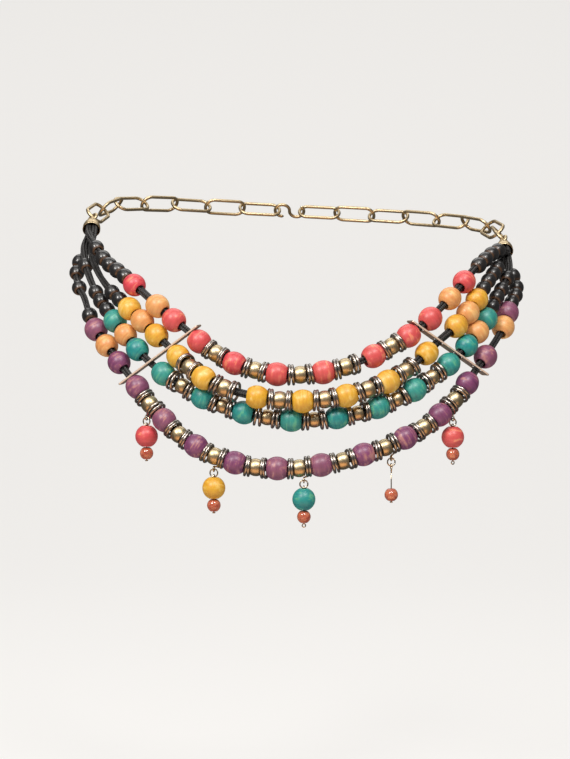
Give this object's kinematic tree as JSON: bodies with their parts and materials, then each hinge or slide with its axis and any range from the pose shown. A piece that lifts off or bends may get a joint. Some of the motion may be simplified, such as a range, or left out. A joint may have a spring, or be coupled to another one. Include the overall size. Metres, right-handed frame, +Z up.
{
  "type": "beaded chain belt",
  "caption": "Hip belt of beaded cords that fan from end caps through thin brass spacer strips, hang in curved rows with small drops in front, and close behind with a hooked link chain.",
  "frame": {"origin": "middle of the waist opening, level with the mouth of the left cord end cap; the wearer's body passes through it", "axes": "+X to the viewer's right in front view and the wearer's left, +Y to the wearer's back, +Z up along the body"},
  "size_m": [0.2533, 0.2166, 0.1888],
  "materials": {
    "wood_red": "dyed, satin",
    "wood_yellow": "dyed, satin",
    "wood_teal": "dyed, satin",
    "wood_purple": "dyed, satin",
    "wood_natural": "natural, satin",
    "brass": "antique, worn bright on the edges",
    "ring_steel": "dark plated, polished",
    "dark_bead": "glossy",
    "cord": "waxed braid",
    "amber": "glossy",
    "wire": "aged"
  },
  "bodies": {
    "belt": {"left_strip": "brass", "right_strip": "brass", "left_cap": "brass", "right_cap": "brass", "red_front": "wood_red", "red_left_wood": "wood_red", "red_left_dark": "dark_bead", "red_right_wood": "wood_red", "red_right_dark": "dark_bead", "yellow_front": "wood_yellow", "yellow_left_wood": "wood_yellow", "yellow_left_dark": "dark_bead", "yellow_right_wood": "wood_yellow", "yellow_right_dark": "dark_bead", "teal_front": "wood_teal", "teal_left_wood": "wood_teal", "teal_left_dark": "dark_bead", "teal_right_wood": "wood_teal", "teal_right_dark": "dark_bead", "purple_front": "wood_purple", "purple_left_wood": "wood_purple", "purple_left_dark": "dark_bead", "purple_right_wood": "wood_purple", "purple_right_dark": "dark_bead", "chain_link_01": "brass", "chain_link_02": "brass", "chain_link_03": "brass", "chain_link_04": "brass", "chain_link_05": "brass", "chain_link_06": "brass", "chain_link_07": "brass", "chain_link_08": "brass", "chain_link_09": "brass", "chain_link_10": "brass", "chain_link_11": "brass", "chain_link_12": "brass", "chain_link_13": "brass", "chain_link_14": "brass", "chain_link_15": "brass", "hook": "brass"},
    "ring_1": {"drop_1_ring": "wire"},
    "drop_1": {"drop_1_pin": "wire", "drop_1_wood": "wood_red", "drop_1_amber": "amber"},
    "ring_2": {"drop_2_ring": "wire"},
    "drop_2": {"drop_2_pin": "wire", "drop_2_wood": "wood_yellow", "drop_2_amber": "amber"},
    "ring_3": {"drop_3_ring": "wire"},
    "drop_3": {"drop_3_pin": "wire", "drop_3_wood": "wood_teal", "drop_3_amber": "amber"},
    "ring_4": {"drop_4_ring": "wire"},
    "drop_4": {"drop_4_pin": "wire", "drop_4_amber": "amber"},
    "ring_5": {"drop_5_ring": "wire"},
    "drop_5": {"drop_5_pin": "wire", "drop_5_wood": "wood_red", "drop_5_amber": "amber"}
  },
  "joints": [
    {"name": "ring_1_swing", "type": "hinge", "parent": "belt", "child": "ring_1", "pos_m": [-0.07736, -0.09469, -0.10504], "axis": [-0.9045, 0.4265, 0], "range_deg": [-15, 80]},
    {"name": "drop_1_sway", "type": "hinge", "parent": "ring_1", "child": "drop_1", "pos_m": [-0.07736, -0.09469, -0.10904], "axis": [-0.4265, -0.9045, 0], "range_deg": [-20, 15]},
    {"name": "ring_2_swing", "type": "hinge", "parent": "belt", "child": "ring_2", "pos_m": [-0.04213, -0.1074, -0.13079], "axis": [-0.9793, 0.2022, 0], "range_deg": [-15, 80]},
    {"name": "drop_2_sway", "type": "hinge", "parent": "ring_2", "child": "drop_2", "pos_m": [-0.04213, -0.1074, -0.13479], "axis": [-0.2022, -0.9793, 0], "range_deg": [-20, 20]},
    {"name": "ring_3_swing", "type": "hinge", "parent": "belt", "child": "ring_3", "pos_m": [0.00343, -0.11193, -0.13622], "axis": [-0.9996, -0.027, 0], "range_deg": [-15, 80]},
    {"name": "drop_3_sway", "type": "hinge", "parent": "ring_3", "child": "drop_3", "pos_m": [0.00343, -0.11193, -0.14022], "axis": [0.027, -0.9996, 0], "range_deg": [-20, 20]},
    {"name": "ring_4_swing", "type": "hinge", "parent": "belt", "child": "ring_4", "pos_m": [0.0479, -0.1058, -0.12542], "axis": [-0.9665, -0.2567, 0], "range_deg": [-15, 80]},
    {"name": "drop_4_sway", "type": "hinge", "parent": "ring_4", "child": "drop_4", "pos_m": [0.0479, -0.1058, -0.12942], "axis": [0.2567, -0.9665, 0], "range_deg": [-20, 20]},
    {"name": "ring_5_swing", "type": "hinge", "parent": "belt", "child": "ring_5", "pos_m": [0.08065, -0.09306, -0.10564], "axis": [-0.8844, -0.4667, 0], "range_deg": [-15, 80]},
    {"name": "drop_5_sway", "type": "hinge", "parent": "ring_5", "child": "drop_5", "pos_m": [0.08065, -0.09306, -0.10964], "axis": [0.4667, -0.8844, 0], "range_deg": [-15, 20]}
  ]
}
